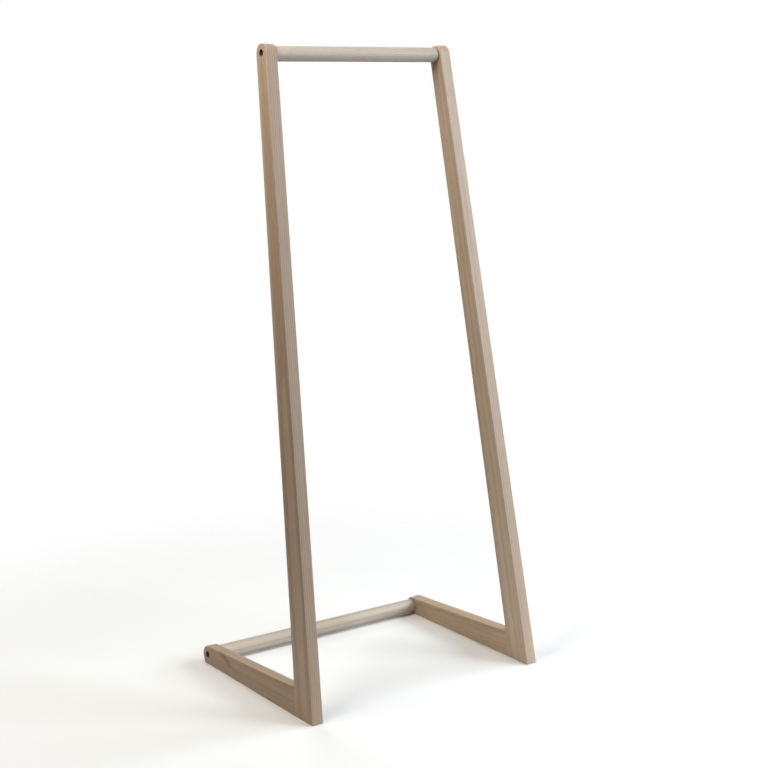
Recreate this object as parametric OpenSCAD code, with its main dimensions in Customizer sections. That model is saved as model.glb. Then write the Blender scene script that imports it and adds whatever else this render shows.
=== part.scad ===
// Valet stand: two leaning side frames of tapered oak boards, joined by two round bars.
// Millimetres. +Z up, the front faces -Y, origin on the floor under the middle of the stand.

/* [Stand] */
// Overall height
stand_h = 1132; // [940:1:1360]
// Overall depth, front corner to rear end
stand_d = 375; // [310:1:450]
// Overall width over the side frames at the floor
stand_w = 500; // [415:1:600]
// Lean of each side frame towards the other one, in degrees
splay = 2.8; // [1:0.1:3.5]
// Distance of the top bar's axis behind the front corner
top_setback = 219; // [150:1:265]

/* [Boards] */
// Thickness of the uprights and foot rails
board_t = 22; // [18:0.5:28]
// Width of an upright, measured level, where its foot rail starts
upright_root_w = 51.5; // [42:0.5:62]
// Height of a foot rail where it meets its upright
foot_root_h = 50; // [41:0.5:60]
// Wood that the rounded board ends show around the outline of the rear bar
tip_margin = 3; // [2:0.5:6]
// Height of a foot rail's round end over the floor
heel_h = 1.6; // [0:0.1:4]
// Distance of a foot rail's floor corner in front of its rear end
heel_setback = 6; // [4:0.5:10]

/* [Bars] */
// Diameter of the top bar
top_bar_d = 26; // [20:0.5:28]
// Diameter of the rear bar
rear_bar_d = 26; // [23:0.5:32]
// Chamfer on the bar ends
bar_chamfer = 2.5; // [1:0.1:4]

/* [Bolts and washers] */
// Nominal diameter of the bolts
bolt_d = 6; // [5:0.5:8]
// Diameter of the bolt head
head_d = 10; // [9:0.5:13]
// Height of the bolt head
head_h = 6; // [4:0.5:7]
// Hexagon socket in the bolt head, across its flats
socket_af = 5; // [3:0.5:6]
// Depth of the hexagon socket
socket_depth = 3; // [2:0.5:3.5]
// Outer diameter of the washers
washer_d = 11; // [10:0.5:14]
// Thickness of the washers
washer_t = 1.6; // [1:0.1:2]
// Wood left between a bolt recess and a board's inner face
seat_t = 10; // [7:0.5:11]
// Gap all round a washer in its recess
recess_gap = 0.5; // [0.2:0.1:1]
// Gap all round a bolt in its hole through the board and the washer
bolt_gap = 0.3; // [0.1:0.1:0.5]

/* [Threaded inserts] */
// Outer diameter of the inserts, over their ridges
insert_d = 12; // [10:0.5:14]
// Length of the inserts
insert_l = 20; // [14:0.5:26]
// Distance from one ridge of an insert to the next
insert_pitch = 2.5; // [2:0.5:4]
// Length of an insert that its bolt leaves free
insert_free = 1.6; // [0.8:0.2:4]

/* [Dowels] */
// Diameter of the corner dowels
dowel_d = 8; // [6:0.5:10]
// Length of the corner dowels
dowel_l = 40; // [30:1:50]
// Empty end of every blind hole
hole_spare = 1; // [0.5:0.5:2]
// Gap all round a dowel, an insert and a bolt's thread
fit_gap = 0.05; // [0.02:0.01:0.1]

/* [Hidden] */
$fn = 96;
left = -1;
right = 1;
eps = 0.01;
reach = 4 * stand_h;
oak = [0.74, 0.67, 0.58];
oak_bar = [0.82, 0.77, 0.69];
beech = [0.85, 0.72, 0.55];
black_steel = [0.16, 0.15, 0.14];
zinc = [0.68, 0.69, 0.70];
brass = [0.80, 0.65, 0.36];

// A side frame is drawn flat: y runs to the rear, v runs up the board from the floor.
tip_r = rear_bar_d / 2 + tip_margin;
top_c = [top_setback, stand_h / cos(splay) - tip_r];
rear_c = [stand_d - tip_r, tip_r + heel_h];
heel = [stand_d - heel_setback, 0];
front_corner = [0, 0];
front_tip = tangent(front_corner, top_c, -1);
crotch = [foot_root_h * front_tip[0] / front_tip[1] + upright_root_w, foot_root_h];
back_tip = tangent(crotch, top_c, 1);
foot_tip = tangent(crotch, rear_c, -1);
heel_tip = tangent(heel, rear_c, 1);
skirt = board_t / 2;
front_skirt = along(front_corner, front_tip, -skirt);
joint_skirt = along(crotch, back_tip, -skirt);
heel_skirt = along(heel, heel_tip, -skirt);

recess_d = washer_d + 2 * recess_gap;
recess_depth = board_t - seat_t;
bolt_l = washer_t + seat_t + insert_l - insert_free;
head_seat = recess_depth - washer_t;
joint_up = (back_tip - crotch) / norm(back_tip - crotch);
joint_out = [joint_up[1], -joint_up[0]];
joint_l = foot_root_h / joint_up[1];
dowel_drops = [joint_l * 0.3, joint_l * 0.7];

// Point where a line from p touches the round board end about c. The line runs a hair inside
// the round end, so that straight and round outlines cross and join into one solid.
function tangent(p, c, turn) =
  let (d = c - p, r = tip_r - eps, a = atan2(d[1], d[0]) + 180 + turn * acos(r / norm(d)))
  c + r * [cos(a), sin(a)];

// Point at height v on the line through p and q
function along(p, q, v) = p + (q - p) * (v - p[1]) / (q[1] - p[1]);

// Puts a flat-drawn side frame in its place: local X points out of the board's outer face
module on_side(side) {
  mirror([side == left ? 1 : 0, 0, 0])
    translate([stand_w / 2, -stand_d / 2, 0])
      rotate([0, -splay, 0])
        children();
}

// Moves to a bar's axis on a side frame, with local Z pointing into the stand
module at_bar(side, c) {
  on_side(side) translate([0, c[0], c[1]]) rotate([0, -90, 0]) children();
}

// Tapered board with a round end about c, planed level with the floor
module board(side, outline, c) {
  difference() {
    on_side(side)
      translate([-board_t, 0, 0])
        rotate([90, 0, 90]) {
          linear_extrude(board_t) polygon(outline);
          translate(c) cylinder(h = board_t, r = tip_r);
        }
    translate([-reach / 2, -reach / 2, -reach]) cube(reach);
  }
}

// Recess for head and washer, with the clearance hole behind it
module bolt_hole(side, c) {
  at_bar(side, c) {
    translate([0, 0, -reach]) cylinder(h = reach + recess_depth, d = recess_d);
    cylinder(h = board_t + 1, d = bolt_d + 2 * bolt_gap);
  }
}

// Moves to a corner dowel's middle, with local Z along it and towards the rear
module at_dowel(side, drop) {
  p = crotch - joint_up * drop;
  on_side(side)
    translate([-board_t / 2, p[0], p[1]])
      rotate([-atan2(joint_out[0], joint_out[1]), 0, 0])
        children();
}

module dowel_holes(side) {
  hole_l = dowel_l + 2 * hole_spare;
  for (drop = dowel_drops)
    at_dowel(side, drop) cylinder(h = hole_l, d = dowel_d + 2 * fit_gap, center = true);
}

module upright(side) {
  color(oak)
    difference() {
      board(side, [front_skirt, front_tip, back_tip, joint_skirt], top_c);
      bolt_hole(side, top_c);
      dowel_holes(side);
    }
}

module foot_rail(side) {
  color(oak)
    difference() {
      board(side, [joint_skirt, crotch, foot_tip, heel_tip, heel_skirt], rear_c);
      bolt_hole(side, rear_c);
      dowel_holes(side);
    }
}

// Round bar between the inner faces, each end mitred to its board and drilled for its insert
module bar(c, bar_d) {
  axis_h = c[1] * cos(splay) - board_t * sin(splay);
  color(oak_bar)
    difference() {
      intersection() {
        translate([-stand_w / 2, c[0] - stand_d / 2, axis_h])
          rotate([0, 90, 0])
            cylinder(h = stand_w, d = bar_d);
        for_both_ends(c)
          cylinder(h = stand_w, r1 = bar_d / 2 - bar_chamfer, r2 = bar_d / 2 - bar_chamfer + stand_w);
      }
      for (side = [left, right])
        at_bar(side, c)
          translate([0, 0, board_t - eps])
            cylinder(h = insert_l + hole_spare + eps, d = insert_d + 2 * fit_gap);
    }
}

// What is common to a shape set on the inner faces at both ends of a bar
module for_both_ends(c) {
  intersection() {
    at_bar(left, c) translate([0, 0, board_t]) children();
    at_bar(right, c) translate([0, 0, board_t]) children();
  }
}

// Socket-head bolt, its head seated on the washer
module bolt(side, c) {
  socket_r = socket_af / 2 / cos(30);
  rim = head_h / 10;
  color(black_steel)
    at_bar(side, c)
      translate([0, 0, head_seat])
        difference() {
          union() {
            cylinder(h = bolt_l, d = bolt_d);
            translate([0, 0, rim - head_h]) cylinder(h = head_h - rim, d = head_d);
            translate([0, 0, -head_h]) cylinder(h = rim, d1 = head_d - 2 * rim, d2 = head_d);
          }
          translate([0, 0, -head_h - 1]) cylinder(h = socket_depth + 1, r = socket_r, $fn = 6);
        }
}

module washer(side, c) {
  color(zinc)
    at_bar(side, c)
      translate([0, 0, head_seat])
        difference() {
          cylinder(h = washer_t, d = washer_d);
          translate([0, 0, -1]) cylinder(h = washer_t + 2, d = bolt_d + 2 * bolt_gap);
        }
}

// Sleeve with ridges that hold it in the end of its bar
module insert(side, c) {
  ridge_h = insert_pitch / 3;
  core_d = (insert_d + bolt_d) / 2;
  ridges = floor(insert_l / insert_pitch);
  color(brass)
    at_bar(side, c)
      translate([0, 0, board_t])
        difference() {
          union() {
            cylinder(h = insert_l, d = core_d);
            for (i = [0 : ridges - 1])
              translate([0, 0, i * insert_pitch]) cylinder(h = ridge_h, d = insert_d);
          }
          translate([0, 0, -1]) cylinder(h = insert_l + 2, d = bolt_d + 2 * fit_gap);
        }
}

// Dowel pin with chamfered ends
module dowel(side, drop) {
  chamfer = dowel_d / 8;
  color(beech)
    at_dowel(side, drop)
      for (end = [0, 1])
        mirror([0, 0, end]) {
          cylinder(h = dowel_l / 2 - chamfer, d = dowel_d);
          translate([0, 0, dowel_l / 2 - chamfer])
            cylinder(h = chamfer, d1 = dowel_d, d2 = dowel_d - 2 * chamfer);
        }
}

module left_upright() { upright(left); }
module right_upright() { upright(right); }
module left_foot_rail() { foot_rail(left); }
module right_foot_rail() { foot_rail(right); }
module top_bar() { bar(top_c, top_bar_d); }
module rear_bar() { bar(rear_c, rear_bar_d); }
module top_left_bolt() { bolt(left, top_c); }
module top_right_bolt() { bolt(right, top_c); }
module rear_left_bolt() { bolt(left, rear_c); }
module rear_right_bolt() { bolt(right, rear_c); }
module top_left_washer() { washer(left, top_c); }
module top_right_washer() { washer(right, top_c); }
module rear_left_washer() { washer(left, rear_c); }
module rear_right_washer() { washer(right, rear_c); }
module top_left_insert() { insert(left, top_c); }
module top_right_insert() { insert(right, top_c); }
module rear_left_insert() { insert(left, rear_c); }
module rear_right_insert() { insert(right, rear_c); }
module left_upper_dowel() { dowel(left, dowel_drops[0]); }
module left_lower_dowel() { dowel(left, dowel_drops[1]); }
module right_upper_dowel() { dowel(right, dowel_drops[0]); }
module right_lower_dowel() { dowel(right, dowel_drops[1]); }

left_upright();
right_upright();
left_foot_rail();
right_foot_rail();
top_bar();
rear_bar();
top_left_bolt();
top_right_bolt();
rear_left_bolt();
rear_right_bolt();
top_left_washer();
top_right_washer();
rear_left_washer();
rear_right_washer();
top_left_insert();
top_right_insert();
rear_left_insert();
rear_right_insert();
left_upper_dowel();
left_lower_dowel();
right_upper_dowel();
right_lower_dowel();
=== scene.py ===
import math
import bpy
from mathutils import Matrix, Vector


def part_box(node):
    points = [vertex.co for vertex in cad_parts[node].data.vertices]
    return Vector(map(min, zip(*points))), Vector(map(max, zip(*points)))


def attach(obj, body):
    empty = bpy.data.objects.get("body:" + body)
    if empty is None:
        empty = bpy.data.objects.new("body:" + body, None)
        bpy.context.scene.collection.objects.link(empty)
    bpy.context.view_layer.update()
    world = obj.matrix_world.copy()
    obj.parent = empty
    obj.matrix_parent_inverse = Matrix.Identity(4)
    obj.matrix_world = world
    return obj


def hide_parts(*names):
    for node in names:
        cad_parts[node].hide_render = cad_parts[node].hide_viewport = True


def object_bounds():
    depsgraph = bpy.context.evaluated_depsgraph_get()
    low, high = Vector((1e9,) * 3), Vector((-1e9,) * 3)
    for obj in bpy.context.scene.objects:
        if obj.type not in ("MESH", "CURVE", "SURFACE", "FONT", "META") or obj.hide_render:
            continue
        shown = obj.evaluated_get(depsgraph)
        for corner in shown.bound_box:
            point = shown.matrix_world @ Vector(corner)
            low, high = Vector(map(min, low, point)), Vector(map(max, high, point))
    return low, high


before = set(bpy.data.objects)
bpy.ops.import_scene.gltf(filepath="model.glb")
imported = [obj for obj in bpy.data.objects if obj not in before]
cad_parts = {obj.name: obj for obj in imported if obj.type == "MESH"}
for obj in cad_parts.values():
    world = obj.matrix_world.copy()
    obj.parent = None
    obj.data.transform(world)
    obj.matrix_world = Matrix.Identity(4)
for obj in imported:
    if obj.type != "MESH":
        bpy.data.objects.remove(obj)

from types import SimpleNamespace

import bpy
import numpy as np
from bpy.props import FloatProperty, FloatVectorProperty, PointerProperty
from mathutils import Matrix, Vector

bl_info = {
    "name": "Valet Stand",
    "version": (1, 0, 0),
    "blender": (4, 5, 0),
    "location": "3D View > Sidebar > Valet Stand",
    "description": "Whitened oak valet stand: two leaning side frames joined by two turned bars",
    "category": "Object",
}

CAD_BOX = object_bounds()
SIDES = {"left": -1.0, "right": 1.0}
# Angles: a whole turn, a quarter, and the outward angle of a face that looks down
TURN, QUARTER, FLOORWARD = 2.0 * math.pi, math.pi / 2, 1.5 * math.pi
MM = 0.001


def extent(node, axis):
    """Size of a CAD node's box along one axis, in metres."""
    low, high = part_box(node)
    return high[axis] - low[axis]


def middle(node, axis):
    """Middle of a CAD node's box along one axis, in metres."""
    low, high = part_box(node)
    return (high[axis] + low[axis]) / 2


# --- Sizes, finishes and studio ------------------------------------------------------------

def length(name, description, default):
    """A length property in metres."""
    return FloatProperty(name=name, description=description, default=default, unit="LENGTH",
                         subtype="DISTANCE", soft_min=0.0, soft_max=2.0, precision=4)


def lean(name, description, degrees):
    """An angle property whose default is given in degrees."""
    return FloatProperty(name=name, description=description, default=math.radians(degrees),
                         subtype="ANGLE", unit="ROTATION")


def colour(name, description, default):
    """A colour property; its values are linear."""
    return FloatVectorProperty(name=name, description=description, default=default,
                               subtype="COLOR", size=3, min=0.0, max=1.0)


def watts(name, softbox_place, default):
    """The power of a softbox."""
    return FloatProperty(name=name, description=f"Watts of the softbox {softbox_place}",
                         default=default, min=0.0, soft_max=500.0, precision=3)


class ValetStandSizes(bpy.types.PropertyGroup):
    """Sizes of the boards, bars and fittings."""
    splay: lean("Splay", "Lean of each side frame towards the other one", 2.8)
    board: length("Board Thickness", "Thickness of the uprights and foot rails", 0.022)
    upright_root: length("Upright Root", "Level width of an upright where its foot rail starts",
                         0.0515)
    foot_root: length("Foot Root", "Height of a foot rail where it meets its upright", 0.050)
    tip_margin: length("Tip Margin", "Wood round the outline of the rear bar", 0.003)
    heel_height: length("Heel Height", "Height of a rail's round end over the floor", 0.0016)
    heel_setback: length("Heel Setback", "Floor corner in front of a rail's rear end", 0.006)
    arris: length("Arris", "Rounding of the boards' long edges", 0.0011)
    joint_arris: length("Joint Arris", "Rounding where upright and foot rail meet", 0.00022)
    recess: length("Recess Diameter", "Diameter of the bolt recess", 0.012)
    seat: length("Seat Wood", "Wood between a bolt recess and the inner face", 0.010)
    bolt_hole: length("Bolt Hole", "Diameter of the hole behind the recess", 0.0066)
    top_bar: length("Top Bar Diameter", "Diameter of the hanging bar", extent("top_bar", 1))
    rear_bar: length("Rear Bar Diameter", "Diameter of the bar between the feet",
                     extent("rear_bar", 1))
    bar_end: length("Bar End Rounding", "Rounding of the bars' ends", 0.0025)
    bolt: length("Bolt Diameter", "Outer diameter of the bolts' thread", 0.006)
    bolt_length: length("Bolt Length", "Length of the bolts under their heads", 0.030)
    head: length("Head Diameter", "Diameter of the bolt heads", extent("top_left_bolt", 1))
    head_height: length("Head Height", "Height of the bolt heads", 0.006)
    socket: length("Socket", "Hexagon socket across its flats", 0.005)
    socket_depth: length("Socket Depth", "Depth of the hexagon socket", 0.003)
    washer: length("Washer Diameter", "Outer diameter of the washers",
                   extent("top_left_washer", 1))
    washer_thickness: length("Washer Thickness", "Thickness of the washers", 0.0016)
    insert: length("Insert Diameter", "Diameter of the inserts over their ridges",
                   extent("top_left_insert", 1))
    insert_length: length("Insert Length", "Length of the inserts", 0.020)
    insert_bore: length("Insert Bore", "Bore that takes the bolt", 0.0061)
    insert_pitch: length("Insert Pitch", "Distance between the ridges of an insert", 0.0025)
    dowel: length("Dowel Diameter", "Diameter of the corner dowels", 0.008)
    dowel_length: length("Dowel Length", "Length of the corner dowels", 0.040)


class ValetStandFinishes(bpy.types.PropertyGroup):
    """Colours of the oak and the fittings."""
    board_pale: colour("Board Pale", "Pale wood of the boards", (0.445, 0.337, 0.243))
    board_dark: colour("Board Dark", "Dark streaks of the boards", (0.345, 0.252, 0.176))
    # The bars' colours are paler than the boards': painted light from above
    bar_pale: colour("Bar Pale", "Pale wood of the bars", (0.455, 0.392, 0.322))
    bar_dark: colour("Bar Dark", "Dark streaks of the bars", (0.345, 0.285, 0.228))
    pore: colour("Pores", "Open pores of the oak", (0.150, 0.105, 0.072))
    fleck: colour("Flecks", "Ray flecks of the oak", (0.540, 0.440, 0.340))
    steel: colour("Blackened Steel", "Bolts", (0.030, 0.028, 0.026))
    zinc: colour("Zinc", "Washers", (0.620, 0.630, 0.640))
    brass: colour("Brass", "Threaded inserts", (0.660, 0.520, 0.260))
    beech: colour("Beech", "Corner dowels", (0.640, 0.450, 0.290))
    floor: colour("Floor", "Studio floor", (0.820, 0.820, 0.820))


class ValetStandStudio(bpy.types.PropertyGroup):
    """Camera and lights."""
    eye: FloatVectorProperty(
        name="Eye", description="Where the camera stands", default=(-1.59443, -2.26657, 1.07653),
        size=3, unit="LENGTH", subtype="TRANSLATION", precision=5)
    heading: lean("Heading", "Turn of the view from +Y towards +X", 35.7137)
    pitch: lean("Pitch", "Tilt of the view above the horizon", -11.1453)
    roll: lean("Roll", "Turn of the camera about its own view line", -0.1320)
    lens: FloatProperty(name="Lens", description="Focal length on a 36 mm sensor",
                        default=73.142, unit="CAMERA", min=10.0)
    key: watts("Key", "at the front right", 72.0)
    right: watts("Right", "at the right", 57.0)
    low: watts("Low", "low at the front right", 5.1)
    overhead: watts("Overhead", "above the stand", 20.0)
    rear: watts("Rear", "behind the stand", 32.0)
    side: watts("Side", "at the upper left", 14.2)
    crown: watts("Crown", "by the left upright's top", 8.5)
    room: FloatProperty(name="Room", description="Strength of the light from the room's walls",
                        default=0.09, min=0.0, soft_max=2.0, precision=3)


# --- The stand's plan ------------------------------------------------------------------------

def touch(point, centre, radius, turn):
    """Point where a line from point touches a circle, on the side that turn (+1 or -1) names."""
    reach = point - centre
    along = math.atan2(reach[1], reach[0])
    angle = along + turn * math.acos(radius / math.hypot(*reach))
    return centre + radius * np.array([math.cos(angle), math.sin(angle)])


def plan(sizes):
    """Key points of a side frame drawn flat: first number to the rear, second up the board.

    The three outline lines of an upright and a foot rail touch the rounds about the two bar
    axes, as in the CAD; the overall sizes come from the CAD box.
    """
    low, high = CAD_BOX
    p = SimpleNamespace(s=sizes, low=low, wide=high.x - low.x, deep=high.y - low.y,
                        tall=high.z - low.z, tilt=sizes.splay, board=sizes.board)
    p.tip = extent("rear_bar", 1) / 2 + sizes.tip_margin
    p.top = np.array([middle("top_bar", 1) - low.y, p.tall / math.cos(p.tilt) - p.tip])
    p.rear = np.array([p.deep - p.tip, p.tip + sizes.heel_height])
    p.heel = np.array([p.deep - sizes.heel_setback, 0.0])
    p.heel_touch = touch(p.heel, p.rear, p.tip, 1)
    p.front_touch = touch(np.zeros(2), p.top, p.tip, -1)
    p.crotch = np.array([sizes.foot_root * p.front_touch[0] / p.front_touch[1]
                         + sizes.upright_root, sizes.foot_root])
    p.back_touch = touch(p.crotch, p.top, p.tip, 1)
    p.foot_touch = touch(p.crotch, p.rear, p.tip, -1)
    p.recess_depth = sizes.board - sizes.seat
    p.head_seat = p.recess_depth - sizes.washer_thickness
    return p


def stand_up(p, side, local):
    """Side-frame points (depth from the outer face, rearward, up the board) put in the stand.

    The board plane leans inwards by the splay, so x and z are the depth and the height turned
    by that angle about the floor line of the outer face.
    """
    depth, rearward, up = local[..., 0], local[..., 1], local[..., 2]
    lean, level = math.sin(p.tilt), math.cos(p.tilt)
    x = side * (p.wide / 2 - up * lean - depth * level)
    return np.stack([x, rearward + p.low.y, up * level - depth * lean + p.low.z], axis=-1)


def bearing(touched, centre):
    """Outward angle at a point on a round."""
    return math.atan2(touched[1] - centre[1], touched[0] - centre[0])


# --- Surfaces --------------------------------------------------------------------------------

def surface(name, rings, looped, attributes):
    """Mesh object through a grid of points: rings down, points round each ring.

    Every ring closes on itself. A looped grid also joins its last ring to its first, like a
    tube bent into a ring; any other grid is closed by a fan about the mean of each end ring.
    Vertex normals are the sums of the faces' area vectors, so flat faces stay flat up to their
    rounded edges.
    """
    rows, columns = rings.shape[:2]
    points = rings.reshape(-1, 3)
    index = np.arange(rows * columns).reshape(rows, columns)
    ring, below = (index, np.roll(index, -1, axis=0)) if looped else (index[:-1], index[1:])
    quads = np.stack([ring, np.roll(ring, -1, 1), np.roll(below, -1, 1), below],
                     axis=-1).reshape(-1, 4)
    caps = np.zeros((0, 3), int)
    if not looped:
        poles = np.stack([rings[0].mean(axis=0), rings[-1].mean(axis=0)])
        first, last = len(points), len(points) + 1
        points = np.concatenate([points, poles])
        top, bottom = index[0], index[-1]
        caps = np.concatenate([
            np.stack([np.full(columns, first), np.roll(top, -1), top], axis=-1),
            np.stack([np.full(columns, last), bottom, np.roll(bottom, -1)], axis=-1)])
        ends = [values[[0, -1]].reshape(2, columns, -1).mean(axis=1)
                for values in attributes.values()]
        attributes = {key: np.concatenate([values.reshape(rows * columns, -1), end])
                      for (key, values), end in zip(attributes.items(), ends)}
    quad_area = np.cross(points[quads[:, 2]] - points[quads[:, 0]],
                         points[quads[:, 3]] - points[quads[:, 1]]) / 2
    cap_area = np.cross(points[caps[:, 1]] - points[caps[:, 0]],
                        points[caps[:, 2]] - points[caps[:, 0]]) / 2
    inside = (np.einsum("ij,ij->", points[quads].mean(axis=1), quad_area)
              + np.einsum("ij,ij->", points[caps].mean(axis=1), cap_area))
    if inside < 0:
        quads, caps = quads[:, ::-1], caps[:, ::-1]
        quad_area, cap_area = -quad_area, -cap_area
    normals = np.zeros_like(points)
    np.add.at(normals, quads.ravel(), np.repeat(quad_area, 4, axis=0))
    np.add.at(normals, caps.ravel(), np.repeat(cap_area, 3, axis=0))
    normals /= np.maximum(np.linalg.norm(normals, axis=1, keepdims=True), 1e-12)

    mesh = bpy.data.meshes.new(name)
    mesh.from_pydata(points.tolist(), [], quads.tolist() + caps.tolist())
    mesh.shade_smooth()
    mesh.normals_split_custom_set_from_vertices(normals.tolist())
    for key, values in attributes.items():
        flat = values.reshape(len(points), -1)
        kind, field = ("FLOAT_VECTOR", "vector") if flat.shape[1] == 3 else ("FLOAT", "value")
        mesh.attributes.new(key, kind, "POINT").data.foreach_set(
            field, flat.astype(np.float32).ravel())
    piece = bpy.data.objects.new(name, mesh)
    bpy.context.scene.collection.objects.link(piece)
    return piece


BOX_SLACK = 2.0 * MM


def fit_up(piece, node, finish):
    """Gives a piece its finish and puts it in its CAD node's place."""
    low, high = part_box(node)
    corners = np.array([v.co for v in piece.data.vertices])
    gap = max(np.abs(corners.min(0) - low).max(), np.abs(corners.max(0) - high).max())
    if gap > BOX_SLACK:
        raise RuntimeError(f"{piece.name} is {gap / MM:.1f} mm off the box of {node}")
    piece.data.materials.append(finish)
    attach(piece, "root")
    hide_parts(node)


def hull(corners, gaps):
    """Closed convex outline: round corners joined by the straight lines that touch them.

    Each corner is (centre, radius, first angle, last angle, steps). On a corner the centre
    stays and the outward angle turns; on a line the angle stays while centre and radius run
    evenly to the next corner, which keeps the line touching both. Returns centre, radius and
    angle of every sample, one row for each depth in the board.
    """
    parts = []
    for i, (centre, radius, first, last, steps) in enumerate(corners):
        next_centre, next_radius = corners[(i + 1) % len(corners)][:2]
        angle = np.linspace(first, last, steps)
        rows = len(centre)
        parts.append(np.concatenate([
            np.repeat(centre[:, None], steps, axis=1), np.full((rows, steps, 1), radius),
            np.broadcast_to(angle[None, :, None], (rows, steps, 1))], axis=2))
        share = gaps[i][None, :, None]
        line = np.broadcast_to(share, (rows, share.shape[1], 1))
        parts.append(np.concatenate([
            centre[:, None] + (next_centre - centre)[:, None] * line,
            radius + (next_radius - radius) * line, np.full(line.shape, last)], axis=2))
    return np.concatenate(parts, axis=1)


def fan_out(reach, radius, steps):
    """Shares of a line that leave a round at equal angles, seen from the round's centre."""
    angle = np.linspace(0.0, math.atan(reach / radius), steps + 2)[1:-1]
    return np.tan(angle) * radius / reach


# Points round an arris or a corner, a joint's fine corner, an upright's top and a rail's end
ROUND_STEPS, FINE_STEPS, TOP_STEPS, REAR_STEPS = 6, 3, 41, 37
# Points along an upright's and a rail's long edges
UPRIGHT_FAN, RAIL_FAN = 15, 12
# Radius of a corner of the outline, in arris radii
CORNER_ROUND = 1.4
# Length over which a joint's fine arris grows to the full one
ARRIS_BLEND = 3 * MM
HOLE_EASE = 0.25 * MM
# How far the points round a hole are moved towards even spacing
EVENING = 0.3


def board(p, side, name, axis_point, outline, arris, along, offset):
    """Board with rounded edges and a stepped bolt hole, as one ring-shaped grid.

    One parameter runs round the outline. The other runs out of the hole: up the bolt hole,
    over the seat, up the recess, across the outer face, over the rounded edge, down the side
    and back across the inner face. The rounded edge is a quarter circle of the arris radius,
    which shrinks to a hairline along the joint. outline(depth) gives centre, radius and angle
    of each sample, and the foot is planed level with the floor.
    """
    s = p.s
    turn = np.linspace(0.0, QUARTER, ROUND_STEPS)
    ease_in, ease_down = 1.0 - np.sin(turn), 1.0 - np.cos(turn)
    inset = np.concatenate([ease_in, ease_in[::-1]])[:, None] * arris
    down = ease_down[:, None] * arris
    depth = np.concatenate([down, p.board - down[::-1]])
    nominal = np.concatenate([ease_down * s.arris, p.board - ease_down[::-1] * s.arris])
    samples = outline(nominal)
    reach = samples[..., 2] - inset
    rearward = samples[..., 0] + reach * np.cos(samples[..., 3])
    up = samples[..., 1] + reach * np.sin(samples[..., 3])
    up = np.maximum(up, depth * math.tan(p.tilt) + inset)
    outer = np.stack([depth, rearward, up], axis=-1)

    # The hole's points follow the outline's bearings, eased towards even spacing
    count = outer.shape[1]
    seen = np.unwrap(np.arctan2(up[0] - axis_point[1], rearward[0] - axis_point[0]))
    even = seen[0] + np.arange(count) * TURN / count
    even += (seen - even).mean()
    angle = (1 - EVENING) * seen + EVENING * even
    hole, recess, ease = s.bolt_hole / 2, s.recess / 2, HOLE_EASE
    rim = np.linspace(0.0, QUARTER, 4)
    profile = [(hole, p.board - ease), (hole, p.recess_depth + ease / 2),
               (hole + ease / 2, p.recess_depth), (recess - ease, p.recess_depth),
               (recess, p.recess_depth - ease)]
    profile += [(recess + ease * (1 - math.cos(a)), ease * (1 - math.sin(a))) for a in rim]
    profile = np.array(profile + [(hole + ease, p.board)])
    ring = np.stack([np.broadcast_to(profile[:, 1:], (len(profile), count)),
                     axis_point[0] + profile[:, :1] * np.cos(angle),
                     axis_point[1] + profile[:, :1] * np.sin(angle)], axis=-1)
    local = np.concatenate([ring[:-1], outer, ring[-1:]])

    # Painted highlight mask: rises to 1 at the middle of each rounded edge, where the finish
    # lightens the wood
    edge = np.zeros(local.shape[:2])
    edge[len(ring) - 1:-1] = np.concatenate([np.sin(2 * turn), np.sin(2 * turn[::-1])])[:, None]
    # Painted shade mask: 1 on the bolt hole, the recess floor and the recess walls, which the
    # finish darkens nearly to black for the shade inside the recess
    cut = np.zeros(local.shape[:2])
    cut[:len(ring) - 3] = 1.0
    along = np.asarray(along) / np.linalg.norm(along)
    across = np.array([along[1], -along[0]])
    flat = local[..., 1:] - axis_point
    grain = np.stack([flat @ across, local[..., 0], flat @ along], axis=-1) + offset
    return surface(name, stand_up(p, side, local), True,
                   {"grain": grain, "edge": edge, "cut": cut})


def floor_corner(p, depth, angle, on_line, radius):
    """Centre of a floor corner at each depth: the side line and the planed foot, both set in."""
    up = depth * math.tan(p.tilt) + radius
    line = math.cos(angle) * on_line[0] + math.sin(angle) * on_line[1] - radius
    return np.stack([(line - math.sin(angle) * up) / math.cos(angle), up], axis=-1)


def upright_outline(p):
    """Outline of an upright: rear floor corner, round top, front floor corner."""
    front, back = bearing(p.front_touch, p.top), bearing(p.back_touch, p.top)
    joint_round, front_round = CORNER_ROUND * p.s.joint_arris, CORNER_ROUND * p.s.arris

    rear_reach = np.linalg.norm(p.back_touch - p.crotch)
    rear_line = rear_reach * (1 + p.crotch[1] / (p.back_touch[1] - p.crotch[1]))
    joint_share = 1 - rear_reach / rear_line
    fan = 1 - fan_out(rear_line, p.tip, UPRIGHT_FAN)[::-1]
    blend = ARRIS_BLEND / rear_line
    steps = np.array([0.45 * joint_share, joint_share, joint_share + blend])
    rear_gap = np.unique(np.concatenate([steps, fan[fan > joint_share + 4 * blend]]))
    front_gap = fan_out(np.linalg.norm(p.front_touch), p.tip, UPRIGHT_FAN)
    floor_gap = np.array([0.15, 0.5, 0.85])

    def outline(depth):
        rear = floor_corner(p, depth, back, p.crotch, joint_round)
        front_c = floor_corner(p, depth, front, np.zeros(2), front_round)
        top = np.repeat(p.top[None], len(depth), axis=0)
        return hull([(rear, joint_round, -QUARTER, back, FINE_STEPS),
                     (top, p.tip, back, front, TOP_STEPS),
                     (front_c, front_round, front, FLOORWARD, ROUND_STEPS)],
                    [rear_gap, front_gap, floor_gap])

    fine, full = p.s.joint_arris, p.s.arris
    arris = np.concatenate([
        np.full(FINE_STEPS, fine), np.where(rear_gap > joint_share + blend / 2, full, fine),
        np.full(TOP_STEPS + len(front_gap) + ROUND_STEPS + len(floor_gap) - 1, full), [fine]])
    return outline, arris


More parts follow.
